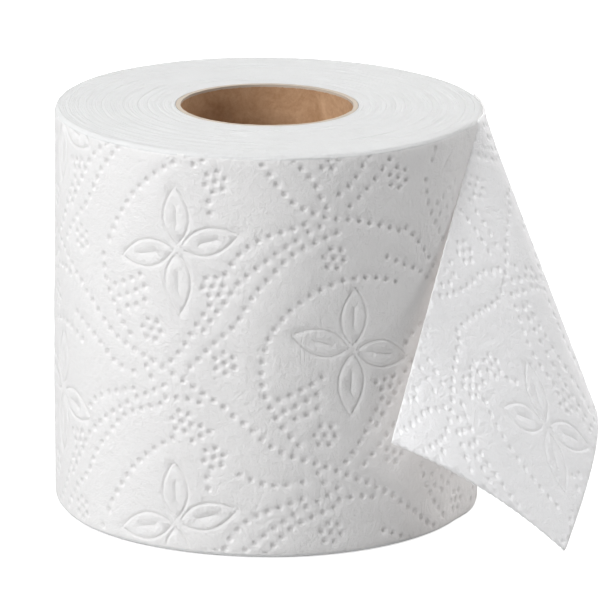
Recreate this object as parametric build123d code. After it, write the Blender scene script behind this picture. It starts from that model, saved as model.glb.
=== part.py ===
from build123d import *
import math
import os

# Toilet paper roll standing on its end, with the loose end of its web flared out over the right side.
# Millimetres. The origin is where the core's axis meets the surface that the roll stands on,
# +Z is up along the core, and -Y is the front.

# Wound web
sheet_width = 100.0
roll_diameter = 104.5
rim_bevel = 1.0

# Core, a tube of spiral-wound board
core_diameter = 44.8
core_wall = 1.15
winding_clearance = 0.1

# Turns seen on the two ends, as one spiral groove laid in short straight runs
turn_pitch = 3.3
turn_gap = 0.8
turn_depth = 0.6
first_turn_margin = 1.0
run_angle = 10.0

# Last turn, slackened where the tail leaves it
slack_lift = 1.3
slack_start_angle = 62.0
slack_middle_share = 0.55
peel_angle = -13.0

# Tail, a sheet ruled from the roll's rim down to a curve on the floor
paper_thickness = 0.5
root_depth = 0.9
root_angle = 14.0
tail_flare = 40.0
tail_length = 85.0
end_edge_hollow = 2.4
hem_rise = 28.0
toe_gap = 0.5
floor_overrun = 12.0
cut_overrun = 15.0
cut_reach = 160.0

# Places along the sheet at the rim, as shares of the turn from root to peel and of the slack lift
rim_turn_shares = (0.0, 0.27, 0.45, 0.60, 0.73, 0.85, 0.94, 1.0, 1.03, 1.06)
rim_lift_shares = (-0.7, 0.2, 0.65, 0.8, 0.9, 1.0, 1.0, 1.0, 1.0, 1.0)

# The same places on the floor after the first, from the roll's right-hand side, as shares of the flare
floor_right_shares = (0.09, 0.27, 0.58, 0.86, 1.0, 0.94, 0.521, -0.16, -0.79)
floor_back_shares = (0.07, -0.06, -0.13, -0.18, -0.42, -0.75, -1.165, -1.59, -1.975)

roll_radius = roll_diameter / 2
core_radius = core_diameter / 2
winding_radius = core_radius + winding_clearance

# Which of those places carry the hem's crest and its toe, and how many strips lie between two places
crest_index = 5
toe_index = 7
strip_count = 3


def on_circle(radius, angle, height=0.0):
    turn = math.radians(angle)
    return Vector(radius * math.cos(turn), radius * math.sin(turn), height)


def make_core():
    # One open tube, sawn off flush with the web at both ends.
    wall = Rot(90, 0, 0) * Rectangle(core_wall, sheet_width)
    return revolve(Pos(core_radius - core_wall / 2, 0, sheet_width / 2) * wall, Axis.Z)


def spiral(start_radius, growth):
    # Corners of a spiral that starts at the given radius and grows by one pitch a turn.
    runs = int(growth / turn_pitch * 360 / run_angle)
    angles = [step * run_angle for step in range(runs + 1)]
    return [on_circle(start_radius + turn_pitch * angle / 360, angle) for angle in angles]


def spiral_groove():
    start = winding_radius + first_turn_margin
    growth = roll_radius - rim_bevel - turn_gap - start
    inner = spiral(start, growth)
    outer = spiral(start + turn_gap, growth)
    band = make_face(Polyline(inner + outer[::-1], close=True))
    return extrude(band, turn_depth)


def make_winding():
    # The wound turns as one body, bevelled at both rims and grooved between turns at both ends.
    turns = Rot(90, 0, 0) * Rectangle(roll_radius - winding_radius, sheet_width)
    body = revolve(Pos((roll_radius + winding_radius) / 2, 0, sheet_width / 2) * turns, Axis.Z)
    rims = [e for e in body.edges().filter_by(GeomType.CIRCLE) if e.radius > roll_radius - rim_bevel]
    body = chamfer(rims, rim_bevel)
    groove = spiral_groove()
    body -= groove
    body -= Pos(0, 0, sheet_width - turn_depth) * groove
    return body


def make_slack_turn():
    # The last turn stands off the roll more and more until the tail leaves it.
    middle = slack_start_angle + (peel_angle - slack_start_angle) * slack_middle_share
    outside = ThreePointArc(
        on_circle(roll_radius, slack_start_angle),
        on_circle(roll_radius + slack_lift * slack_middle_share, middle),
        on_circle(roll_radius + slack_lift, peel_angle),
    )
    foot = on_circle(roll_radius - root_depth, peel_angle)
    heel = on_circle(roll_radius - root_depth, slack_start_angle)
    inside = CenterArc((0, 0), roll_radius - root_depth, peel_angle, slack_start_angle - peel_angle)
    step = Line(outside @ 1, foot)
    back = Line(heel, outside @ 0)
    crescent = make_face(Wire([edge for line in (outside, step, inside, back) for edge in line.edges()]))
    return Pos(0, 0, rim_bevel) * extrude(crescent, sheet_width - 2 * rim_bevel)


def rim_places():
    turn = peel_angle - root_angle
    return [
        on_circle(roll_radius + lift * slack_lift, root_angle + share * turn, sheet_width)
        for share, lift in zip(rim_turn_shares, rim_lift_shares)
    ]


def floor_places():
    root = on_circle(roll_radius - root_depth, root_angle)
    rest = zip(floor_right_shares, floor_back_shares)
    return [root] + [Vector(roll_radius + right * tail_flare, back * tail_flare, 0) for right, back in rest]


def strip_corners(rim, floor):
    # Smooth curves through the places, then the corners of flat strips along them, at rim and floor.
    runs = [(after - before).length for before, after in zip(floor, floor[1:])]
    shares = [sum(runs[:count]) / sum(runs) for count in range(len(floor))]
    rim_curve = Edge.make_spline(rim, parameters=shares)
    floor_curve = Edge.make_spline(floor, parameters=shares)
    sheet = Face.make_surface_from_curves(rim_curve, floor_curve)
    steps = [
        before + (after - before) * strip / strip_count
        for before, after in zip(shares, shares[1:])
        for strip in range(strip_count)
    ] + [shares[-1]]
    return [sheet.position_at(step, 0) for step in steps], [sheet.position_at(step, 1) for step in steps]


def sheet_section(corners):
    # A band one paper thickness wide, to the right of the way that the sheet runs.
    inside = []
    for index, corner in enumerate(corners):
        before = corners[max(index - 1, 0)]
        after = corners[min(index + 1, len(corners) - 1)]
        way = (after - before).normalized()
        inside.append(corner + Vector(way.Y, -way.X, 0) * paper_thickness)
    return make_face(Polyline(corners + inside[::-1], close=True))


def make_tail():
    rim = rim_places()
    floor = floor_places()
    high, low = strip_corners(rim, floor)
    below = [top + (foot - top) * (1 + floor_overrun / sheet_width) for top, foot in zip(high, low)]
    sheet = loft([sheet_section(high), sheet_section(below)], ruled=True)

    # The hem lies in one plane through its root, its crest on the ridge and its toe at the front.
    ridge = floor[crest_index] - rim[crest_index]
    crest = rim[crest_index] + ridge * (1 - hem_rise / sheet_width)
    toe = floor[toe_index] + Vector(0, 0, toe_gap)
    hem = Plane(origin=floor[0], x_dir=toe - floor[0], z_dir=(crest - floor[0]).cross(toe - floor[0]))
    below_hem = hem * Rectangle(2 * cut_reach, 2 * cut_reach)
    sheet -= extrude(below_hem, cut_reach)
    sheet -= extrude(Rectangle(2 * cut_reach, 2 * cut_reach), -2 * floor_overrun)

    # The perforated end runs from the top corner to the toe in a shallow hollow.
    corner = rim[-1] + (floor[-1] - rim[-1]).normalized() * tail_length
    end = Plane(origin=corner, x_dir=toe - corner, z_dir=(toe - corner).cross(rim[-1] - corner))
    width = (toe - corner).length
    hollow = ThreePointArc((0, 0), (width / 2, end_edge_hollow), (width, 0))
    outline = Polyline(
        hollow @ 1,
        (width + cut_reach, 0),
        (width + cut_reach, -cut_reach),
        (-cut_reach, -cut_reach),
        (-cut_reach, 0),
        hollow @ 0,
    )
    beyond_end = end * make_face(Wire([edge for line in (hollow, outline) for edge in line.edges()]))
    sheet -= extrude(beyond_end, cut_overrun, both=True)
    return max(sheet.solids(), key=lambda solid: solid.volume)


def make_web():
    # Wound turns, slack turn and tail are one unbroken web.
    return make_winding() + make_slack_turn() + make_tail()


def write(part, node):
    part.label = node
    export_step(part, f"parts/{node}.step")


os.makedirs("parts", exist_ok=True)
write(make_core(), "core_tube")
write(make_web(), "tissue_web")
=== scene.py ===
import math

import bpy
import numpy as np
from mathutils import Matrix, Vector, kdtree, noise
from mathutils.geometry import delaunay_2d_cdt


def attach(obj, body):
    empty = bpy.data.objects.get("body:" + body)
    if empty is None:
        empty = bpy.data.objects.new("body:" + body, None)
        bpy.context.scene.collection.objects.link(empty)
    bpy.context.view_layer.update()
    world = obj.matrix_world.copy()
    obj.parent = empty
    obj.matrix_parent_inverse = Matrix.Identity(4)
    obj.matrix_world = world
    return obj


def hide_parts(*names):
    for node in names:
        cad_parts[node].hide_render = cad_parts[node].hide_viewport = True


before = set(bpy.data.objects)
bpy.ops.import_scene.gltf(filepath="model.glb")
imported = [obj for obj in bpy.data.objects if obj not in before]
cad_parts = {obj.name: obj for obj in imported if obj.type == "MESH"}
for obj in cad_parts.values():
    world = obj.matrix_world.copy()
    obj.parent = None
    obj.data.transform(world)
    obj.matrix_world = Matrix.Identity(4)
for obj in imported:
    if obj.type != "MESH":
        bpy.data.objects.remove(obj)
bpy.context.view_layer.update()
print("frame loaded")

mm = 0.001

# The roll: its sizes as the CAD nodes have them, its slack last turn, and the web's unevenness.
roll = {
    "height": 100 * mm,
    "radius": 52.25 * mm,
    "windingRadius": 22.5 * mm,
    "coreRadius": 22.4 * mm,
    "coreWall": 1.15 * mm,
    "rimRound": 1.3 * mm,
    "slackLift": 1.3 * mm,
    "slackStart": 62.0,
    "peelAngle": -13.0,
    "rootAngle": 14.0,
    "settleAngle": -27.0,
    "layerGap": 0.12 * mm,
    "slackPower": 1.15,
    "smoothAngle": -52.0,
    "smoothBeforePeel": 8.0,
    "smoothDown": 62 * mm,
    "smoothFade": 30 * mm,
    "smoothShare": 0.9,
    "waveHeight": 0.35 * mm,
    "waveRound": 1.6,
    "waveDown": 70 * mm,
    "waveGrain": 1.7,
    "wavePlace": (3.1, 0.7, 9.2),
    "waveFade": 20.0,
    "rimRows": (0.0, 0.06, 0.22, 0.48, 0.82),
    "rimSteps": 360,
    "seamSteps": 60,
    "seamClear": 0.35 * mm,
    # The share of the rims' round within which faces get the ends' darker material, painted shade.
    "rimPaintedShadeShare": 0.9,
}

# The pressed pattern: flowers on a skewed lattice, lines of dots about them, and small clusters of dots.
pattern = {
    "columnStep": 43.4 * mm,
    "columnDrop": 24.6 * mm,
    "rowStep": 68.5 * mm,
    "flowerAcross": -21.8 * mm,
    "flowerDown": 24.0 * mm,
    "dotSpacing": 2.95 * mm,
    "dotRadius": 1.02 * mm,
    "dotDepth": 0.48 * mm,
    "clusterSpacing": 2.55 * mm,
    "curveSteps": 200,
    "motifReach": 60 * mm,
    "rowSpan": (-2, 4),
    "petalWidth": 6.6 * mm,
    "petalRootGap": 1.2 * mm,
    "petalSteps": 24,
    "petalLean": 0.9,
    "petalFullness": 0.85,
    "grooveWidth": 0.85 * mm,
    "grooveDepth": 0.28 * mm,
    "slitLength": 4.2 * mm,
    "slitPlace": 0.52,
    "grooveClear": 2.1 * mm,
    "pillowHeight": 0.10 * mm,
    "pillowReach": 2.2 * mm,
    "meshStep": 1.9 * mm,
    "meshRowShare": 0.87,
    "meshClear": 1.25,
    "pointMerge": 1e-7,
}
# A dot as rings of points: their share of its radius, their count and their share of its depth.
dotRings = ((0.0, 1, 1.0), (0.4, 5, 0.93), (0.68, 8, 0.42), (0.88, 8, 0.02), (1.12, 8, -0.05))
# A groove's section: shares of its width to the side, and of its depth. Its lips are left off near its ends.
grooveSection = ((0, 1.0), (-0.5, 0.0), (0.5, 0.0), (-0.25, 0.6), (0.25, 0.6))
grooveLips = ((-0.9, -0.12), (0.9, -0.12))
lipMargin = 3
petalTips = ((-0.6 * mm, -15.2 * mm), (15.2 * mm, -4.6 * mm), (0.5 * mm, 16.4 * mm), (-15.6 * mm, 3.8 * mm))

# Where dots stand about a flower's centre, in millimetres to the right and down: lines through a few
# places, and clusters. Every second column of flowers has its own versions of some of them.
dotLines = (
    ((-22.3, 5), (-21.5, 10.2), (-19.1, 15.3), (-15.8, 20.2), (-12.2, 24), (-9.7, 27), (-8.4, 30), (-6.8, 33)),
    ((31.2, -7.2), (25.9, -5.5), (20, -3.2), (15.5, 0.5), (12.5, 5), (10.5, 9.5), (8, 14), (5.1, 18.6),
     (1.7, 24.3), (-2.3, 28.8), (-7.4, 31.4), (-13.1, 32.5)),
    ((39.2, -4.7), (34.7, -3), (28.7, -0.1), (23.3, 5.3), (18.2, 11.7), (14.5, 18), (10.5, 21.8), (6.2, 26.3),
     (1.7, 30.8), (-2.6, 34), (-8.5, 37.4), (-13.6, 39.6), (-19.6, 42.2)),
    ((29.3, -3.3), (24.4, -0.1), (20.5, 3), (15.9, 7), (12.5, 11.8), (10.1, 15), (6.5, 20.3)),
    ((-18.1, 11.6), (-12.4, 9.1), (-6.8, 5.9)),
    ((-16.7, 14.4), (-11.9, 12.2), (-7, 9.4)),
    ((-14, 16.4), (-10, 14.8), (-7, 12.8)),
)
evenLines = (
    ((8, -12.2), (8.3, -9.4), (6, -7.3)),
    ((4.5, -23.6), (-0.3, -21.4), (-5.7, -18), (-11.1, -13.2), (-16.8, -5.6), (-20, 0.1), (-21.8, 5)),
    ((-13.1, 32.5), (-18.2, 31.1), (-22.7, 28), (-28, 25), (-32, 23), (-36, 21.4)),
)
oddLines = (
    ((12, -15.4), (7.7, -16.8), (-0.8, -17.5), (-6.8, -16.1), (-14.5, -11.4), (-19.3, -6), (-21.8, 0),
     (-22.3, 5)),
)
crossLines = (
    ((-13.1, 32.5), (-18.2, 33), (-21.7, 32.6), (-27, 30.7), (-30.6, 29.3)),
)
evenRowLines = (
    ((-2.8, 37.4), (2.3, 37.1), (7.7, 38.2), (12.5, 39.6), (17.6, 42.8), (22.4, 47), (27.3, 49.9),
     (32.4, 51.6), (37, 53.4), (43.5, 56.4), (50.3, 59.9), (57, 64)),
)
oddRowLines = (
    ((4, 36), (12, 38.4), (19.5, 45), (24.3, 51.2), (28.3, 55.9), (33, 58.5), (37, 60), (42.7, 60.9),
     (48, 62.3), (53, 63.9), (58, 66)),
)
dotClusters = (
    (-6.6, 20.9, 0.1),
    (12.2, 27.4, 0.4),
    (9.2, 8.6, 0.9),
)
evenClusters = ((9.6, -17.2, 0.7), (1.6, -25.6, 0.2), (6.4, -22.4, 0.5))
oddClusters = ((-4.8, -23, 0.2),)


def splineThrough(places, knots, at):
    # A natural cubic spline through the places, worked out for all their coordinates at once.
    points = np.array([tuple(place) for place in places])
    knots = np.array(knots)
    gaps = np.diff(knots)
    count = len(knots)
    matrix = np.zeros((count, count))
    right = np.zeros((count, points.shape[1]))
    matrix[0, 0] = matrix[-1, -1] = 1
    for number in range(1, count - 1):
        matrix[number, number - 1] = gaps[number - 1]
        matrix[number, number] = 2 * (gaps[number - 1] + gaps[number])
        matrix[number, number + 1] = gaps[number]
        slopeAfter = (points[number + 1] - points[number]) / gaps[number]
        slopeBefore = (points[number] - points[number - 1]) / gaps[number - 1]
        right[number] = 6 * (slopeAfter - slopeBefore)
    bends = np.linalg.solve(matrix, right)
    at = np.asarray(at)
    spans = np.clip(np.searchsorted(knots, at, side="right") - 1, 0, count - 2)
    gap = gaps[spans][:, None]
    ahead = (knots[spans + 1] - at)[:, None]
    behind = (at - knots[spans])[:, None]
    return (
        bends[spans] * ahead**3 / (6 * gap) + bends[spans + 1] * behind**3 / (6 * gap)
        + (points[spans] / gap - bends[spans] * gap / 6) * ahead
        + (points[spans + 1] / gap - bends[spans + 1] * gap / 6) * behind
    )


def spaced(points, spacing):
    # Points at even distances along a fine line of points.
    kept = [points[0]]
    gone = 0.0
    for before, after in zip(points, points[1:]):
        step = math.dist(before, after)
        while gone + step >= spacing:
            share = (spacing - gone) / step
            before = (before[0] + (after[0] - before[0]) * share, before[1] + (after[1] - before[1]) * share)
            kept.append(before)
            step = math.dist(before, after)
            gone = 0.0
        gone += step
    return kept


def petalGrooves(tip):
    # The two sides of a petal and the slit along its middle, each as a line of points.
    length = math.hypot(*tip)
    along = (tip[0] / length, tip[1] / length)
    across = (-along[1], along[0])
    gap = pattern["petalRootGap"]
    lines = []
    for side in (-1, 1):
        line = []
        for step in range(pattern["petalSteps"] + 1):
            share = step / pattern["petalSteps"]
            bow = math.sin(math.pi * share ** pattern["petalLean"]) ** pattern["petalFullness"]
            out = side * pattern["petalWidth"] / 2 * bow
            run = gap + (length - gap) * share
            line.append((along[0] * run + across[0] * out, along[1] * run + across[1] * out))
        lines.append(line)
    middle = length * pattern["slitPlace"]
    half = pattern["slitLength"] / 2
    runs = [middle + half * share for share in (-1, -0.5, 0, 0.5, 1)]
    lines.append([(along[0] * run, along[1] * run) for run in runs])
    return lines


def motifDots(lines, clusters):
    # Dots about a flower's centre: clusters of seven first, then those along the lines.
    dots = []
    for x, y, turn in clusters:
        x, y = x * mm, y * mm
        dots.append((x, y))
        for step in range(6):
            angle = turn + step * math.pi / 3
            reach = pattern["clusterSpacing"]
            dots.append((x + reach * math.cos(angle), y + reach * math.sin(angle)))
    for line in lines:
        runs = [math.dist(before, after) for before, after in zip(line, line[1:])]
        knots = [sum(runs[:count]) for count in range(len(line))]
        at = np.linspace(0, knots[-1], pattern["curveSteps"])
        places = splineThrough([(x * mm, y * mm) for x, y in line], knots, at)
        dots += spaced([tuple(place) for place in places], pattern["dotSpacing"])
    return dots


def patternFeatures(low, high):
    # Dots and groove points of every lattice cell that touches the given flat box.
    columnKinds = ((evenLines, evenClusters, ()), (oddLines, oddClusters, crossLines))
    dots = [
        (
            motifDots(dotLines + lines + evenRowLines + crossing, dotClusters + clusters),
            motifDots(dotLines + lines + oddRowLines, dotClusters + clusters),
        )
        for lines, clusters, crossing in columnKinds
    ]
    grooves = [line for tip in petalTips for line in petalGrooves(tip)]
    reach = pattern["motifReach"]
    firstColumn = int((low[0] - reach - pattern["flowerAcross"]) / pattern["columnStep"]) - 1
    lastColumn = int((high[0] + reach - pattern["flowerAcross"]) / pattern["columnStep"]) + 1
    dotPlaces = []
    grooveLines = []
    for column in range(firstColumn, lastColumn + 1):
        drop = (column * pattern["columnDrop"]) % pattern["rowStep"]
        for row in range(*pattern["rowSpan"]):
            x = pattern["flowerAcross"] + column * pattern["columnStep"]
            y = pattern["flowerDown"] + drop + row * pattern["rowStep"]
            if not (low[0] - reach < x < high[0] + reach and low[1] - reach < y < high[1] + reach):
                continue
            mirror = -1 if column % 2 else 1
            wraps = row - int(column * pattern["columnDrop"] // pattern["rowStep"])
            for line in grooves:
                grooveLines.append([(x + mirror * px, y + py) for px, py in line])
            dotPlaces += [(x + px, y + py) for px, py in dots[column % 2][wraps % 2]]
    return dotPlaces, grooveLines


def keepApart(places, taken, gap):
    # Leaves out each place that lies nearer than the gap to one already there.
    cells = {}
    kept = []
    for number, place in enumerate(list(taken) + places):
        key = (int(place[0] // gap), int(place[1] // gap))
        near = [q for dx in (-1, 0, 1) for dy in (-1, 0, 1) for q in cells.get((key[0] + dx, key[1] + dy), [])]
        if number >= len(taken) and any(math.dist(place, q) < gap for q in near):
            continue
        cells.setdefault(key, []).append(place)
        if number >= len(taken):
            kept.append(place)
    return kept


def embossedSheet(low, high, inside):
    # Flat points with their heights, fine at the dots and grooves only, and the dots for pillow to look up.
    dotPlaces, grooveLines = patternFeatures(low, high)
    groovePoints = [point for line in grooveLines for point in line]
    dotPlaces = keepApart(dotPlaces, groovePoints, pattern["grooveClear"])
    flat = []
    heights = []
    soft = []
    for x, y in dotPlaces:
        for share, count, depth in dotRings:
            for step in range(count):
                angle = 2 * math.pi * step / count + share
                reach = pattern["dotRadius"] * share
                flat.append((x + reach * math.cos(angle), y + reach * math.sin(angle)))
                heights.append(-pattern["dotDepth"] * depth)
                soft.append(False)
    for line in grooveLines:
        for number, (x, y) in enumerate(line):
            before = line[max(number - 1, 0)]
            after = line[min(number + 1, len(line) - 1)]
            length = math.dist(before, after)
            across = ((before[1] - after[1]) / length, (after[0] - before[0]) / length)
            lipped = lipMargin < number < len(line) - 1 - lipMargin
            for share, depth in grooveSection + (grooveLips if lipped else ()):
                reach = share * pattern["grooveWidth"]
                flat.append((x + across[0] * reach, y + across[1] * reach))
                heights.append(-pattern["grooveDepth"] * depth)
                soft.append(False)
    features = kdtree.KDTree(len(dotPlaces) + len(groovePoints))
    for number, (x, y) in enumerate(dotPlaces + groovePoints):
        features.insert((x, y, 0), number)
    features.balance()
    dotTree = kdtree.KDTree(len(dotPlaces))
    for number, (x, y) in enumerate(dotPlaces):
        dotTree.insert((x, y, 0), number)
    dotTree.balance()
    step = pattern["meshStep"]
    rowStep = step * pattern["meshRowShare"]
    columns = int((high[0] - low[0]) / step) + 2
    rows = int((high[1] - low[1]) / rowStep) + 2
    for row in range(rows):
        for column in range(columns):
            x = low[0] + (column + 0.5 * (row % 2)) * step
            y = low[1] + row * rowStep
            distance = features.find((x, y, 0))[2]
            if distance > pattern["dotRadius"] * pattern["meshClear"]:
                flat.append((x, y))
                heights.append(0.0)
                soft.append(True)
    keep = inside(np.array(flat))
    flat = [place for place, good in zip(flat, keep) if good]
    heights = [height for height, good in zip(heights, keep) if good]
    soft = [mark for mark, good in zip(soft, keep) if good]
    return flat, heights, soft, dotTree


def pillow(dotTree, x, y):
    # The paper between dots stands up a little.
    distance = dotTree.find((x, y, 0))[2]
    return pattern["pillowHeight"] * (1 - math.exp(-((distance / pattern["pillowReach"]) ** 2)))


def meshPiece(name, vertices, faces, materials):
    mesh = bpy.data.meshes.new(name)
    mesh.from_pydata([tuple(v) for v in vertices], [], [tuple(f) for f in faces])
    mesh.update()
    piece = bpy.data.objects.new(name, mesh)
    bpy.context.scene.collection.objects.link(piece)
    for material in materials:
        mesh.materials.append(material)
    mesh.shade_smooth()
    return piece


# Shader helpers

def mathNode(tree, operation, first, second=None):
    node = tree.nodes.new("ShaderNodeMath")
    node.operation = operation
    for socket, value in zip(node.inputs, (first, second)):
        if value is None:
            continue
        if isinstance(value, (int, float)):
            socket.default_value = value
        else:
            tree.links.new(value, socket)
    return node.outputs[0]


def noiseNode(tree, vector, grain):
    # The grain is a noise's scale, detail, roughness and distortion.
    node = tree.nodes.new("ShaderNodeTexNoise")
    for label, value in zip(("Scale", "Detail", "Roughness", "Distortion"), grain):
        node.inputs[label].default_value = value
    tree.links.new(vector, node.inputs["Vector"])
    return node.outputs["Fac"]


def colorMix(tree, factor, first, second):
    # Each colour is a socket or a plain value.
    node = tree.nodes.new("ShaderNodeMix")
    node.data_type = "RGBA"
    for label, value in (("A", first), ("B", second)):
        if isinstance(value, tuple):
            node.inputs[label].default_value = value
        else:
            tree.links.new(value, node.inputs[label])
    tree.links.new(factor, node.inputs["Factor"])
    return node.outputs["Result"]


fibre = {
    "crumple": (480.0, 5.0, 0.62, 0.4),
    "crumpleHeight": 0.50 * mm,
    "hairs": (1700.0, 3.0, 0.7, 1.2),
    "hairHeight": 0.26 * mm,
    "crease": (190.0, 2.0, 0.5, 1.6),
    "creaseSlant": (1.0, 1.0, 0.6),
    "creaseSharpness": 7.0,
    "creaseHeight": 0.65 * mm,
    "mottle": (60.0, 3.0, 0.6, 0.0),
    "creasedAbove": 0.42,
}


def makeFibreGroup():
    # Soft crumple, short creases and fine fibres as a height in metres, and a slow mottle from 0 to 1.
    group = bpy.data.node_groups.new("tissueFibre", "ShaderNodeTree")
    for label in ("Height", "Mottle"):
        group.interface.new_socket(name=label, in_out="OUTPUT", socket_type="NodeSocketFloat")
    end = group.nodes.new("NodeGroupOutput")
    place = group.nodes.new("ShaderNodeTexCoord").outputs["Object"]
    stretch = group.nodes.new("ShaderNodeVectorMath")
    stretch.operation = "MULTIPLY"
    stretch.inputs[1].default_value = fibre["creaseSlant"]
    group.links.new(place, stretch.inputs[0])
    crumple = noiseNode(group, place, fibre["crumple"])
    hairs = noiseNode(group, place, fibre["hairs"])
    waves = noiseNode(group, stretch.outputs[0], fibre["crease"])
    ridge = mathNode(group, "ABSOLUTE", mathNode(group, "SUBTRACT", waves, 0.5))
    crease = mathNode(group, "MINIMUM", mathNode(group, "MULTIPLY", ridge, fibre["creaseSharpness"]), 1.0)
    patchy = noiseNode(group, place, fibre["mottle"])
    weight = mathNode(group, "MAXIMUM", mathNode(group, "SUBTRACT", patchy, fibre["creasedAbove"]), 0.0)
    height = mathNode(group, "MULTIPLY", crumple, fibre["crumpleHeight"])
    height = mathNode(group, "ADD", height, mathNode(group, "MULTIPLY", hairs, fibre["hairHeight"]))
    creased = mathNode(group, "MULTIPLY", mathNode(group, "MULTIPLY", crease, weight), fibre["creaseHeight"])
    group.links.new(mathNode(group, "ADD", height, creased), end.inputs["Height"])
    group.links.new(patchy, end.inputs["Mottle"])
    return group


fibreGroup = makeFibreGroup()

# Colours and softness of the wound web, its two ends and its loose end. The ends' colours are darker than the
# web's, painted shade; the loose end's are lighter, painted light for the light that comes through the thin
# sheet.
tissue = {
    "color": (0.818, 0.803, 0.796, 1.0),
    "shade": (0.788, 0.773, 0.766, 1.0),
    "endPaintedShadeColor": (0.735, 0.73, 0.725, 1.0),
    "endPaintedShadeDark": (0.69, 0.685, 0.68, 1.0),
    "tailPaintedLightColor": (0.97, 0.958, 0.96, 1.0),
    "tailPaintedLightDarker": (0.945, 0.933, 0.935, 1.0),
    "roughness": 0.95,
    "specular": 0.15,
    "softness": 0.18,
    "softRadius": (1.2 * mm, 1.2 * mm, 1.2 * mm),
    "bump": 0.7,
    "tailSoftness": 0.04,
    "paintedLightFadeFrom": -18 * mm,
    "paintedLightFadeTo": 12 * mm,
    "passedLight": (0.27, 0.261, 0.253, 1.0),
}


def makeTissueMaterial(name, color, shade, bump):
    material = bpy.data.materials.new(name)
    material.use_nodes = True
    tree = material.node_tree
    shader = tree.nodes["Principled BSDF"]
    effect = tree.nodes.new("ShaderNodeGroup")
    effect.node_tree = fibreGroup
    tree.links.new(colorMix(tree, effect.outputs["Mottle"], shade, color), shader.inputs["Base Color"])
    shader.inputs["Roughness"].default_value = tissue["roughness"]
    shader.inputs["Specular IOR Level"].default_value = tissue["specular"]
    shader.inputs["Subsurface Weight"].default_value = tissue["softness"]
    shader.inputs["Subsurface Radius"].default_value = tissue["softRadius"]
    shader.inputs["Subsurface Scale"].default_value = 1.0
    relief = tree.nodes.new("ShaderNodeBump")
    relief.inputs["Distance"].default_value = 1.0
    relief.inputs["Strength"].default_value = bump
    tree.links.new(effect.outputs["Height"], relief.inputs["Height"])
    tree.links.new(relief.outputs["Normal"], shader.inputs["Normal"])
    return material, tree, effect, relief


tissueMaterial = makeTissueMaterial("tissue", tissue["color"], tissue["shade"], tissue["bump"])[0]


def makeTailMaterial():
    # The loose end is one thin sheet, so it looks lighter than the wound web: its lighter colour is painted
    # light, for the light that comes through it.
    material, tree = makeTissueMaterial(
        "tissue_tail_painted_light", tissue["tailPaintedLightColor"], tissue["tailPaintedLightDarker"], tissue["bump"])[:2]
    shader = tree.nodes["Principled BSDF"]
    shader.inputs["Subsurface Weight"].default_value = tissue["tailSoftness"]
    # Towards its root the painted light fades out and it takes on the wound web's colour, because it is the
    # same sheet.
    parts = tree.nodes.new("ShaderNodeSeparateXYZ")
    tree.links.new(tree.nodes.new("ShaderNodeTexCoord").outputs["Object"], parts.inputs[0])
    reach = tree.nodes.new("ShaderNodeMapRange")
    reach.interpolation_type = "SMOOTHSTEP"
    reach.inputs["From Min"].default_value = tissue["paintedLightFadeFrom"]
    reach.inputs["From Max"].default_value = tissue["paintedLightFadeTo"]
    tree.links.new(parts.outputs["Y"], reach.inputs["Value"])
    paintedLightColor = shader.inputs["Base Color"].links[0].from_socket
    tree.links.new(colorMix(tree, reach.outputs["Result"], paintedLightColor, tissue["color"]), shader.inputs["Base Color"])
    # What falls through the sheet reaches the web behind it, which is all that this glow lights.
    bounced = tree.nodes.new("ShaderNodeLightPath").outputs["Is Diffuse Ray"]
    glow = colorMix(tree, bounced, (0.0, 0.0, 0.0, 1.0), tissue["passedLight"])
    tree.links.new(glow, shader.inputs["Emission Color"])
    shader.inputs["Emission Strength"].default_value = 1.0
    return material


tailMaterial = makeTailMaterial()

# Turns seen on the ends. Each pitch is a spiral of its own, and noise fades it in and out along the way.
endTurns = {
    "bandPitches": (3.3 * mm, 1.9 * mm),
    "bandHeight": 0.14 * mm,
    "linePitches": (1.13 * mm, 0.74 * mm, 0.47 * mm),
    "lineHeight": 0.24 * mm,
    "bandGrain": 12 * mm,
    "bandWaver": 0.5,
    "bandWaverGrain": 0.6,
    "bandStrength": 0.5,
    "bandPlace": 5.0,
    "fadeRings": 3,
    "waverNoise": (70.0, 4.0, 0.6, 0.0),
    "waver": 0.9 * mm,
    "lineNoises": ((160.0, 3.0, 0.6, 0.0), (220.0, 3.0, 0.6, 0.0), (280.0, 3.0, 0.6, 0.0)),
    "lineFloor": 0.3,
    "bump": 0.6,
    "stepAcross": 0.45 * mm,
    "stepRound": 300,
}


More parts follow.
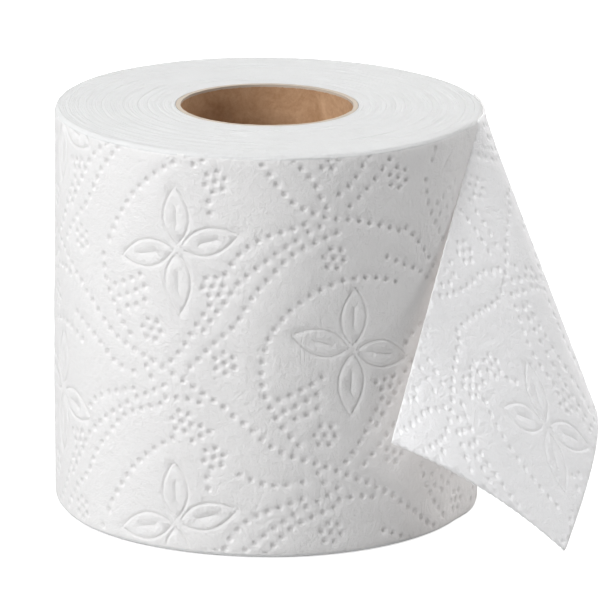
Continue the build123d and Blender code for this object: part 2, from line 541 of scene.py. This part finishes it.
def makeEndMaterial():
    # The ends take a darker copy of the web's colour: painted shade on the ends, against the strong light from
    # above.
    material, tree, effect, relief = makeTissueMaterial(
        "tissue_ends_painted_shade", tissue["endPaintedShadeColor"], tissue["endPaintedShadeDark"], endTurns["bump"])
    place = tree.nodes.new("ShaderNodeTexCoord").outputs["Object"]
    parts = tree.nodes.new("ShaderNodeSeparateXYZ")
    tree.links.new(place, parts.inputs[0])
    x, y = parts.outputs["X"], parts.outputs["Y"]
    squares = mathNode(tree, "ADD", mathNode(tree, "MULTIPLY", x, x), mathNode(tree, "MULTIPLY", y, y))
    radius = mathNode(tree, "SQRT", squares)
    turn = mathNode(tree, "DIVIDE", mathNode(tree, "ARCTAN2", y, x), 2 * math.pi)
    waver = mathNode(tree, "MULTIPLY", noiseNode(tree, place, endTurns["waverNoise"]), endTurns["waver"])
    reach = mathNode(tree, "ADD", radius, waver)
    height = effect.outputs["Height"]
    for pitch, grain in zip(endTurns["linePitches"], endTurns["lineNoises"]):
        phase = mathNode(tree, "SUBTRACT", mathNode(tree, "DIVIDE", reach, pitch), turn)
        wave = mathNode(tree, "SINE", mathNode(tree, "MULTIPLY", phase, 2 * math.pi))
        fade = mathNode(tree, "SUBTRACT", noiseNode(tree, place, grain), endTurns["lineFloor"])
        fade = mathNode(tree, "MULTIPLY", fade, endTurns["lineHeight"])
        height = mathNode(tree, "ADD", height, mathNode(tree, "MULTIPLY", wave, fade))
    tree.links.new(height, relief.inputs["Height"])
    return material


endShadedMaterial = makeEndMaterial()
print("materials made")


def clamped(share):
    return min(max(share, 0.0), 1.0)


def eased(share):
    # The share held between 0 and 1, with a soft start and end.
    share = clamped(share)
    return share * share * (3 - 2 * share)


def onRoll(angle, radius, height):
    turn = math.radians(angle)
    return Vector((radius * math.cos(turn), radius * math.sin(turn), height))


# Places along the tail's rim, as shares of the turn from root to peel and of the slack lift.
rimTurnShares = (0.0, 0.27, 0.45, 0.60, 0.73, 0.85, 0.94, 1.0, 1.03, 1.06)
rimLiftShares = (0.62, 0.75, 0.85, 0.9, 0.95, 1.0, 1.0, 1.0, 1.0, 1.0)


def slackLift(angle):
    # How far the last turn stands off the roll. The angle runs from the root once round to the root again.
    # Under the tail the turn beneath stands off too, and settles back in front of the peel.
    if angle < roll["slackStart"]:
        share = (roll["slackStart"] - angle) / (roll["slackStart"] - roll["peelAngle"])
        return roll["slackLift"] * share ** roll["slackPower"]
    turned = angle - 360
    if turned > roll["peelAngle"]:
        share = (roll["rootAngle"] - turned) / (roll["rootAngle"] - roll["peelAngle"])
        return roll["slackLift"] * float(np.interp(share, rimTurnShares, rimLiftShares)) - roll["layerGap"]
    ahead = (turned - roll["settleAngle"]) / (roll["peelAngle"] - roll["settleAngle"])
    return (roll["slackLift"] - roll["layerGap"]) * eased(ahead)


# The side laid flat runs once round from the root, with 0 at the front.
sideStart = (roll["rootAngle"] + 90) / 180 * math.pi * roll["radius"] - 2 * math.pi * roll["radius"]
sideEnd = sideStart + 2 * math.pi * roll["radius"]


def sideAngle(s):
    return math.degrees(s / roll["radius"]) + 270


def sideWave(angle, down):
    # The web's slow unevenness: it isn't wound quite round or quite straight. None where the tail lies on it.
    middle = (roll["rootAngle"] + roll["peelAngle"]) / 2
    away = abs((angle - middle + 180) % 360 - 180) - (roll["rootAngle"] - middle)
    fade = clamped(away / roll["waveFade"])
    place = onRoll(angle, roll["waveRound"], down / roll["waveDown"]) * roll["waveGrain"]
    return roll["waveHeight"] * fade * noise.noise(place + Vector(roll["wavePlace"]))


def sideRadius(angle, down):
    return roll["radius"] + slackLift(angle) + sideWave(angle, down)


def reliefKept(angle, down):
    # Near the peel the web is pulled smooth at the top, so that the pattern fades there.
    smoothEnd = roll["peelAngle"] - roll["smoothBeforePeel"]
    near = eased((angle - 360 - roll["smoothAngle"]) / (smoothEnd - roll["smoothAngle"]))
    return 1 - roll["smoothShare"] * near * clamped((roll["smoothDown"] - down) / roll["smoothFade"])


def rimPull(down):
    # How far the rounded rims draw the side in at this depth below the top.
    rim = roll["rimRound"]
    edge = min(down, roll["height"] - down)
    if edge >= rim:
        return 0.0
    return rim - math.sqrt(max(rim**2 - (rim - edge) ** 2, 0.0))


def makeSide():
    height = roll["height"]
    low = (sideStart, 0.0)
    high = (sideEnd, height)
    margin = roll["seamClear"]

    def inside(flat):
        return (
            (flat[:, 0] > low[0] + margin) & (flat[:, 0] < high[0] - margin)
            & (flat[:, 1] > roll["rimRound"]) & (flat[:, 1] < height - roll["rimRound"])
        )

    flat, heights, soft, dotTree = embossedSheet(low, high, inside)
    for down in [share * roll["rimRound"] for share in roll["rimRows"]]:
        for step in range(roll["rimSteps"] + 1):
            s = low[0] + (high[0] - low[0]) * step / roll["rimSteps"]
            for place in ((s, down), (s, height - down)):
                flat.append(place)
                heights.append(0.0)
                soft.append(False)
    for step in range(1, roll["seamSteps"]):
        for s in (low[0], high[0]):
            flat.append((s, height * step / roll["seamSteps"]))
            heights.append(0.0)
            soft.append(True)
    places = [Vector(place) for place in flat]
    points, _, triangles, sources = delaunay_2d_cdt(places, [], [], 0, pattern["pointMerge"])[:4]
    vertices = []
    for number, (s, down) in enumerate(points):
        source = sources[number][0]
        angle = sideAngle(s)
        raised = heights[source]
        if soft[source]:
            raised += pillow(dotTree, s, down)
        raised *= reliefKept(angle, down)
        radius = sideRadius(angle, down) - rimPull(down) + raised
        vertices.append(onRoll(angle, radius, height - down))
    piece = meshPiece("roll_side", vertices, triangles, [tissueMaterial, endShadedMaterial])
    downs = [point[1] for point in points]
    # Faces on the rounded rims take the ends' darker material: painted shade that dulls the highlight along the
    # rims.
    rim = roll["rimRound"] * roll["rimPaintedShadeShare"]
    for polygon in piece.data.polygons:
        depth = [min(downs[corner], height - downs[corner]) for corner in polygon.vertices]
        polygon.material_index = 1 if max(depth) < rim else 0
    return piece


rollSide = makeSide()
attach(rollSide, "root")
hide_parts("tissue_web")
print("side made:", len(rollSide.data.polygons), "faces")


def endBands(angle, radius, level):
    # Broad turns that stand in and out, each spiral stronger in some places than in others.
    place = onRoll(angle, radius, level) / endTurns["bandGrain"]
    lift = 0.0
    for number, pitch in enumerate(endTurns["bandPitches"]):
        waver = noise.noise(place * endTurns["bandWaverGrain"]) * endTurns["bandWaver"]
        phase = radius / pitch - angle / 360 + waver
        moved = place + Vector((0, 0, endTurns["bandPlace"] + number))
        strength = endTurns["bandStrength"] + noise.noise(moved)
        lift += endTurns["bandHeight"] * strength * math.sin(2 * math.pi * phase)
    return lift


def makeEnd(name, top):
    # One end of the wound turns, from the core out to the rim, with broad turns pressed in and let out.
    inner = roll["windingRadius"]
    level = roll["height"] if top else 0.0
    outward = 1 if top else -1
    rounds = endTurns["stepRound"]
    vertices = []
    faces = []
    rings = int((roll["radius"] - roll["rimRound"] - inner) / endTurns["stepAcross"]) + 1
    for ring in range(rings + 1):
        for step in range(rounds + 1):
            angle = roll["rootAngle"] + 360 * step / rounds
            outer = sideRadius(angle, 0.0 if top else roll["height"]) - roll["rimRound"]
            radius = inner + (outer - inner) * ring / rings
            edgeFade = min(ring, rings - ring, endTurns["fadeRings"]) / endTurns["fadeRings"]
            lift = endBands(angle, radius, level) * edgeFade
            vertices.append(onRoll(angle, radius, level + outward * lift))
    width = rounds + 1
    for ring in range(rings):
        for step in range(rounds):
            a = ring * width + step
            quad = (a, a + width, a + width + 1, a + 1)
            faces.append(quad if top else quad[::-1])
    piece = meshPiece(name, vertices, faces, [endShadedMaterial])
    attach(piece, "root")
    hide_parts("tissue_web")
    return piece


makeEnd("roll_top", True)
makeEnd("roll_bottom", False)
print("ends made")

# The loose end: a sheet ruled between a curve at the rim and a curve on the floor.
tail = {
    "flare": 40.0 * mm,
    "length": 85.0 * mm,
    "endHollow": 2.4 * mm,
    "hemRise": 28.0 * mm,
    "toeGap": 0.5 * mm,
    "thickness": 0.38 * mm,
    "rootRise": 4.0 * mm,
    "flowerPlace": (-65.2 * mm, 40.1 * mm),
    "patternStretch": 1.14,
    "patternSkew": 0.5,
    "curlPull": (0.0, 6.0 * mm, -1.68 * mm),
    "curlFrom": 0.4,
    "reliefShare": 0.72,
    "edgeSmooth": 2.5 * mm,
    "curlReach": 32 * mm,
    "tabStep": 2.1 * mm,
    "tabShare": 0.3,
    "tabDepth": 0.18 * mm,
    "endOverrun": 1 * mm,
    "rulings": 240,
    "rulingSteps": 2000,
    "borderStep": 4,
    "borderPoints": 60,
    "borderStart": 0.02,
    "borderGap": 0.05 * mm,
    "borderClear": 0.4 * mm,
    "firstRuling": 0.3,
    "lastRuling": 1.1,
    "hemTouch": 1e-9,
    "spanGuard": 1e-15,
    "normalGuard": 1e-12,
}
floorRightShares = (0.09, 0.27, 0.58, 0.86, 1.0, 0.94, 0.521, -0.16, -0.79)
floorBackShares = (0.07, -0.06, -0.13, -0.18, -0.42, -0.75, -1.165, -1.59, -1.975)
crestIndex = 5
toeIndex = 7


def tailPlaces():
    turn = roll["peelAngle"] - roll["rootAngle"]
    rim = [
        onRoll(roll["rootAngle"] + share * turn, roll["radius"] + lift * roll["slackLift"], roll["height"])
        for share, lift in zip(rimTurnShares, rimLiftShares)
    ]
    floor = [onRoll(roll["rootAngle"], roll["radius"] + rimLiftShares[0] * roll["slackLift"], 0.0)]
    for right, back in zip(floorRightShares, floorBackShares):
        floor.append(Vector((roll["radius"] + right * tail["flare"], back * tail["flare"], 0.0)))
    return rim, floor


def thirdCorner(a, b, fromA, fromB):
    # The corner that lies at these distances from a and b, on the right-hand side from a to b.
    base = np.linalg.norm(b - a)
    way = (b - a) / base
    along = (base**2 + fromA**2 - fromB**2) / (2 * base)
    off = math.sqrt(max(fromA**2 - along**2, 0.0))
    return a + way * along + np.array((way[1], -way[0])) * off


def unrolledStrips(rim, floor):
    # The ruled sheet laid flat strip by strip, the last ruling along the web's upper edge.
    count = len(rim)
    flatRim = np.zeros((count, 2))
    flatFloor = np.zeros((count, 2))
    last = count - 1
    flatFloor[last] = (-np.linalg.norm(floor[last] - rim[last]), 0.0)
    for number in range(last - 1, -1, -1):
        a, b = flatRim[number + 1], flatFloor[number + 1]
        flatFloor[number] = thirdCorner(a, b, np.linalg.norm(floor[number] - rim[number + 1]),
                                        np.linalg.norm(floor[number] - floor[number + 1]))
        flatRim[number] = thirdCorner(a, flatFloor[number], np.linalg.norm(rim[number] - rim[number + 1]),
                                      np.linalg.norm(rim[number] - floor[number]))
    return flatRim, flatFloor


def makeTailSurface():
    rimPlaces, floorPlaces = tailPlaces()
    runs = [math.dist(before, after) for before, after in zip(floorPlaces, floorPlaces[1:])]
    knots = [sum(runs[:count]) / sum(runs) for count in range(len(floorPlaces))]
    steps = np.linspace(0, 1, tail["rulings"] + 1)
    rim = splineThrough(rimPlaces, knots, steps)
    floor = splineThrough(floorPlaces, knots, steps)
    flatRim, flatFloor = unrolledStrips(rim, floor)
    return rimPlaces, floorPlaces, rim, floor, flatRim, flatFloor


def tailCuts(rimPlaces, floorPlaces, rim, floor):
    # For each ruling, the share of it that is left above the hem and short of the perforated end.
    crest = rimPlaces[crestIndex].lerp(floorPlaces[crestIndex], 1 - tail["hemRise"] / roll["height"])
    toe = floorPlaces[toeIndex] + Vector((0, 0, tail["toeGap"]))
    root = floorPlaces[0] + Vector((0, 0, tail["rootRise"]))
    hemNormal = np.array((crest - root).cross(toe - root).normalized())
    corner = rimPlaces[-1] + (floorPlaces[-1] - rimPlaces[-1]).normalized() * tail["length"]
    along = (toe - corner).normalized()
    normal = (toe - corner).cross(rimPlaces[-1] - corner).normalized()
    upward = normal.cross(along)
    width = (toe - corner).length
    cuts = []
    shares = np.linspace(0, 1, tail["rulingSteps"] + 1)
    for top, foot in zip(rim, floor):
        points = top + (foot - top) * shares[:, None]
        below = (points - np.array(root)) @ hemNormal
        sign = np.sign(below[0]) or 1.0
        past = below * sign < -tail["hemTouch"]
        local = points - np.array(corner)
        run = local @ np.array(along)
        over = local @ np.array(upward)
        place = np.clip(run / width, 0, 1)
        hollow = tail["endHollow"] * 4 * place * (1 - place)
        tab = tail["tabDepth"] * (((run / tail["tabStep"]) % 1.0) < tail["tabShare"])
        past |= (over < hollow + tab) & (run < width) & (run > -tail["endOverrun"])
        cuts.append(shares[np.argmax(past)] if past.any() else 1.0)
    return np.array(cuts)


def tailBorder(flatRim, flatCut):
    # The flat sheet's outline: along the rim, down the upper edge, back along the cut and up the root.
    last = len(flatRim) - 1
    sideShares = np.linspace(tail["borderStart"], 1, tail["borderPoints"])
    backShares = np.linspace(tail["borderStart"], 1 - tail["borderStart"], tail["borderPoints"])
    border = [flatRim[number] for number in range(0, last + 1, tail["borderStep"])]
    border += [flatRim[last] + (flatCut[last] - flatRim[last]) * share for share in sideShares]
    border += [flatCut[number] for number in range(last - 1, -1, -1)]
    border += [flatCut[0] + (flatRim[0] - flatCut[0]) * share for share in backShares]
    kept = []
    for point in border:
        if not kept or math.dist(point, kept[-1]) > tail["borderGap"]:
            kept.append(point)
    return kept


def makeTail():
    rimPlaces, floorPlaces, rim, floor, flatRim, flatFloor = makeTailSurface()
    cuts = tailCuts(rimPlaces, floorPlaces, rim, floor)
    flatCut = flatRim + (flatFloor - flatRim) * cuts[:, None]
    flower = np.array((pattern["flowerAcross"], pattern["flowerDown"]))
    place = np.array(tail["flowerPlace"])
    turned = np.array(((tail["patternStretch"], tail["patternSkew"]), (0.0, tail["patternStretch"])))
    turnedBack = np.linalg.inv(turned)

    def toPattern(flat):
        return (flat - place) @ turned + flower

    def toFlat(points):
        return (points - flower) @ turnedBack + place

    def ruling(flat):
        # Which ruling each flat point lies on, and how far along it.
        ways = flatFloor - flatRim
        spans = np.zeros(len(flat))
        shares = np.zeros(len(flat))
        for number, point in enumerate(flat):
            sides = ways[:, 0] * (point[1] - flatRim[:, 1]) - ways[:, 1] * (point[0] - flatRim[:, 0])
            crossings = np.nonzero(sides[:-1] * sides[1:] <= 0)[0]
            span = crossings[-1] if len(crossings) else (0 if abs(sides[0]) < abs(sides[-1]) else len(ways) - 2)
            part = np.clip(sides[span] / (sides[span] - sides[span + 1] + tail["spanGuard"]), 0, 1)
            top = flatRim[span] + (flatRim[span + 1] - flatRim[span]) * part
            way = ways[span] + (ways[span + 1] - ways[span]) * part
            spans[number] = span + part
            shares[number] = np.dot(point - top, way) / np.dot(way, way)
        return spans, shares

    def inside(flat):
        spans, shares = ruling(toFlat(flat))
        limit = np.interp(spans, range(len(cuts)), cuts)
        edge = tail["borderClear"] / roll["height"]
        between = (spans > tail["firstRuling"]) & (spans < len(cuts) - tail["lastRuling"])
        return between & (shares > edge) & (shares < limit - edge)

    outline = toPattern(np.concatenate((flatRim, flatCut)))
    low, high = outline.min(axis=0), outline.max(axis=0)
    flat, heights, soft, dotTree = embossedSheet(tuple(low), tuple(high), inside)
    border = [tuple(toPattern(point)) for point in tailBorder(flatRim, flatCut)]
    places = [Vector(place) for place in border] + [Vector(place) for place in flat]
    heights = [0.0] * len(border) + heights
    soft = [False] * len(border) + soft
    loop = list(range(len(border)))
    edges = list(zip(loop, loop[1:] + loop[:1]))
    points, _, triangles, sources = delaunay_2d_cdt(places, edges, [loop], 1, pattern["pointMerge"])[:4]
    spans, shares = ruling(toFlat(np.array([tuple(point) for point in points])))
    vertices = []
    for number, point in enumerate(points):
        source = sources[number][0] if sources[number] else None
        raised = 0.0 if source is None else heights[source]
        if source is not None and soft[source]:
            raised += pillow(dotTree, point[0], point[1])
        spot = toFlat(np.array(point))
        edgeGap = (np.interp(spans[number], range(len(cuts)), cuts) - shares[number]) * roll["height"]
        edgeGap = min(edgeGap, spot[1])
        raised *= tail["reliefShare"] * clamped(edgeGap / tail["edgeSmooth"])
        index = int(min(spans[number], len(rim) - 2))
        part = spans[number] - index
        top = rim[index] + (rim[index + 1] - rim[index]) * part
        foot = floor[index] + (floor[index + 1] - floor[index]) * part
        nextRim, nextFloor = rim[index + 1] - rim[index], floor[index + 1] - floor[index]
        across = nextRim + (nextFloor - nextRim) * shares[number]
        normal = np.cross(across, foot - top)
        normal /= np.linalg.norm(normal) + tail["normalGuard"]
        far = eased((-spot[0] / tail["length"] - tail["curlFrom"]) / (1 - tail["curlFrom"]))
        near = max(1 - max(spot[1], 0.0) / tail["curlReach"], 0.0)
        curl = np.array(tail["curlPull"]) * far * near**2
        vertices.append(Vector(top + (foot - top) * shares[number] + normal * raised + curl))
    piece = meshPiece("tail", vertices, triangles, [tailMaterial])
    thick = piece.modifiers.new("thickness", "SOLIDIFY")
    thick.thickness = tail["thickness"]
    thick.offset = 1.0
    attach(piece, "root")
    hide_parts("tissue_web")
    return piece


tailPiece = makeTail()
print("tail made:", len(tailPiece.data.polygons), "faces")

core = {
    "seamPitch": 96.0 * mm,
    "seamDepth": 0.22 * mm,
    "seamWidth": 2.4 * mm,
    "seamEdge": 0.5 * mm,
    "rimFuzz": 0.072 * mm,
    "rimFuzzReach": 4 * mm,
    "rimFuzzGrain": 9.0,
    "cornerAngle": 50.0,
    "rounds": 240,
    "rows": 100,
    "color": (0.63, 0.405, 0.25, 1.0),
    "dark": (0.36, 0.195, 0.095, 1.0),
    "rimColor": (0.58, 0.50, 0.42, 1.0),
    "rimDepth": 0.4 * mm,
    "rimWaver": 0.5 * mm,
    "patches": (110.0, 6.0, 0.65, 0.8),
    "patchShare": 0.65,
    "flecks": (900.0, 4.0, 0.7, 0.5),
    "toneRange": (0.28, 0.68),
    "roughness": 0.85,
    "specular": 0.1,
    "bumpHeight": 0.15 * mm,
    "bump": 0.6,
}


def makeCoreMaterial():
    material = bpy.data.materials.new("kraft_board")
    material.use_nodes = True
    tree = material.node_tree
    shader = tree.nodes["Principled BSDF"]
    place = tree.nodes.new("ShaderNodeTexCoord").outputs["Object"]
    parts = tree.nodes.new("ShaderNodeSeparateXYZ")
    tree.links.new(place, parts.inputs[0])
    patches = noiseNode(tree, place, core["patches"])
    flecks = noiseNode(tree, place, core["flecks"])
    tone = mathNode(tree, "ADD", mathNode(tree, "MULTIPLY", patches, core["patchShare"]),
                    mathNode(tree, "MULTIPLY", flecks, 1 - core["patchShare"]))
    ramp = tree.nodes.new("ShaderNodeValToRGB")
    stops = zip(ramp.color_ramp.elements, core["toneRange"], (core["dark"], core["color"]))
    for stop, position, color in stops:
        stop.position = position
        stop.color = color
    tree.links.new(tone, ramp.inputs["Fac"])
    fromMiddle = mathNode(tree, "ABSOLUTE", mathNode(tree, "SUBTRACT", parts.outputs["Z"], roll["height"] / 2))
    rough = mathNode(tree, "ADD", fromMiddle, mathNode(tree, "MULTIPLY", flecks, core["rimWaver"]))
    nearEnd = mathNode(tree, "GREATER_THAN", rough, roll["height"] / 2 - core["rimDepth"])
    color = colorMix(tree, nearEnd, ramp.outputs["Color"], core["rimColor"])
    tree.links.new(color, shader.inputs["Base Color"])
    shader.inputs["Roughness"].default_value = core["roughness"]
    shader.inputs["Specular IOR Level"].default_value = core["specular"]
    relief = tree.nodes.new("ShaderNodeBump")
    relief.inputs["Distance"].default_value = core["bumpHeight"]
    relief.inputs["Strength"].default_value = core["bump"]
    tree.links.new(tone, relief.inputs["Height"])
    tree.links.new(relief.outputs["Normal"], shader.inputs["Normal"])
    return material


def makeCore():
    # A closed tube wall: inside with the helical seam, two rims a little rough from the saw, and outside.
    rounds = core["rounds"]
    outer = roll["coreRadius"]
    inner = outer - roll["coreWall"]
    height = roll["height"]
    middle = (inner + outer) / 2
    profile = [(inner, height * row / core["rows"], True) for row in range(core["rows"] + 1)]
    profile += [(middle, height, False), (outer, height, False), (outer, 0.0, False), (middle, 0.0, False)]
    vertices = []
    for radius, level, seamed in profile:
        for step in range(rounds):
            angle = 360 * step / rounds
            out = 0.0
            if seamed:
                phase = (level / core["seamPitch"] + angle / 360) % 1.0
                distance = min(phase, 1 - phase) * core["seamPitch"]
                width = core["seamWidth"] if phase < 0.5 else core["seamEdge"]
                out = core["seamDepth"] * max(1 - distance / width, 0.0)
            rough = 0.0
            if level in (0.0, height):
                around = onRoll(angle, 1.0, radius / core["rimFuzzReach"]) * core["rimFuzzGrain"]
                rough = core["rimFuzz"] * noise.noise(around)
            vertices.append(onRoll(angle, radius + out, level + (rough if level > 0 else -rough)))
    faces = []
    loops = len(profile)
    for ring in range(loops):
        for step in range(rounds):
            a = ring * rounds + step
            b = ring * rounds + (step + 1) % rounds
            c = ((ring + 1) % loops) * rounds + (step + 1) % rounds
            d = ((ring + 1) % loops) * rounds + step
            faces.append((a, d, c, b))
    piece = meshPiece("core", vertices, faces, [makeCoreMaterial()])
    bend = piece.modifiers.new("corners", "EDGE_SPLIT")
    bend.split_angle = math.radians(core["cornerAngle"])
    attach(piece, "root")
    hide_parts("core_tube")
    return piece


makeCore()
print("core made")

# Camera fitted to the photo's outline.
camera = {
    "place": (0.0, -1314.0 * mm, 417.0 * mm),
    "yaw": 0.0065,
    "pitch": 0.2722,
    "roll": 0.009,
    "sensor": 36.0,
    "lens": 330.2,
    "nearest": 50 * mm,
    "farthest": 50.0,
}


def makeCamera():
    lens = bpy.data.cameras.new("camera")
    lens.sensor_width = camera["sensor"]
    lens.lens = camera["lens"]
    lens.clip_start = camera["nearest"]
    lens.clip_end = camera["farthest"]
    shown = bpy.data.objects.new("camera", lens)
    bpy.context.scene.collection.objects.link(shown)
    yaw, pitch, turn = camera["yaw"], camera["pitch"], camera["roll"]
    ahead = Vector((math.sin(yaw) * math.cos(pitch), math.cos(yaw) * math.cos(pitch), -math.sin(pitch)))
    level = Vector((math.cos(yaw), -math.sin(yaw), 0))
    upright = level.cross(ahead)
    right = level * math.cos(turn) + upright * math.sin(turn)
    up = upright * math.cos(turn) - level * math.sin(turn)
    axes = Matrix((right, up, -ahead)).transposed().to_4x4()
    shown.matrix_world = Matrix.Translation(camera["place"]) @ axes
    bpy.context.scene.camera = shown


makeCamera()

# Lamps by bearing from the front and rise above the floor, in degrees, and power in watts.
lamps = {
    "high": {"bearing": -20.0, "rise": 75.0, "power": 20.0},
    "key": {"bearing": -42.0, "rise": 20.0, "power": 11.8},
    "left": {"bearing": -76.0, "rise": 30.0, "power": 10.5},
    "right": {"bearing": 112.0, "rise": 20.0, "power": 12.0},
    "back": {"bearing": 150.0, "rise": 20.0, "power": 9.0},
}
light = {
    "cool": (0.985, 1.0, 1.01),
    "plain": (1.0, 1.0, 1.0),
    "distance": 1.8,
    "size": 0.6,
    "world": 0.09,
}
ground = {
    "left": -6.0,
    "right": 6.0,
    "front": -4.0,
    "back": 8.0,
    "drop": 0.2 * mm,
    "glow": 0.8,
    "color": (0.66, 0.66, 0.66, 1.0),
}
white = (1.0, 1.0, 1.0, 1.0)


def makeLamp(name, values):
    lamp = bpy.data.lights.new(name, "AREA")
    lamp.shape = "SQUARE"
    lamp.size = light["size"]
    lamp.energy = values["power"]
    lamp.color = light["cool"] if values["bearing"] < 0 else light["plain"]
    shown = bpy.data.objects.new(name, lamp)
    bpy.context.scene.collection.objects.link(shown)
    bearing, rise = math.radians(values["bearing"]), math.radians(values["rise"])
    way = Vector((math.sin(bearing) * math.cos(rise), -math.cos(bearing) * math.cos(rise), math.sin(rise)))
    shown.location = Vector((0, 0, roll["height"] / 2)) + way * light["distance"]
    shown.rotation_euler = (-way).to_track_quat("-Z", "Y").to_euler()


for lampName, lampValues in lamps.items():
    makeLamp(lampName, lampValues)


def makeWorld():
    # The camera sees plain white, and the part gets only a little light from all round.
    world = bpy.data.worlds.new("world")
    bpy.context.scene.world = world
    world.use_nodes = True
    tree = world.node_tree
    tree.nodes.clear()
    out = tree.nodes.new("ShaderNodeOutputWorld")
    glow = tree.nodes.new("ShaderNodeBackground")
    seen = tree.nodes.new("ShaderNodeBackground")
    mix = tree.nodes.new("ShaderNodeMixShader")
    path = tree.nodes.new("ShaderNodeLightPath")
    glow.inputs["Color"].default_value = white
    glow.inputs["Strength"].default_value = light["world"]
    seen.inputs["Color"].default_value = white
    seen.inputs["Strength"].default_value = 1.0
    tree.links.new(path.outputs["Is Camera Ray"], mix.inputs[0])
    tree.links.new(glow.outputs[0], mix.inputs[1])
    tree.links.new(seen.outputs[0], mix.inputs[2])
    tree.links.new(mix.outputs[0], out.inputs[0])


makeWorld()


def makeFloor():
    # The floor glows for the camera alone, so that it ends in white as the photo's does.
    mesh = bpy.data.meshes.new("floor")
    left, right, front, back = (ground[side] for side in ("left", "right", "front", "back"))
    corners = [(left, front, 0), (right, front, 0), (right, back, 0), (left, back, 0)]
    mesh.from_pydata(corners, [], [(0, 1, 2, 3)])
    floor = bpy.data.objects.new("floor", mesh)
    bpy.context.scene.collection.objects.link(floor)
    floor.location.z = -ground["drop"]
    material = bpy.data.materials.new("floor")
    material.use_nodes = True
    tree = material.node_tree
    shader = tree.nodes["Principled BSDF"]
    shader.inputs["Base Color"].default_value = ground["color"]
    shader.inputs["Roughness"].default_value = 1.0
    shader.inputs["Specular IOR Level"].default_value = 0.0
    seen = tree.nodes.new("ShaderNodeLightPath").outputs["Is Camera Ray"]
    shader.inputs["Emission Color"].default_value = white
    tree.links.new(mathNode(tree, "MULTIPLY", seen, ground["glow"]), shader.inputs["Emission Strength"])
    mesh.materials.append(material)


makeFloor()

bpy.context.scene.view_settings.view_transform = "Standard"
print("scene ready")
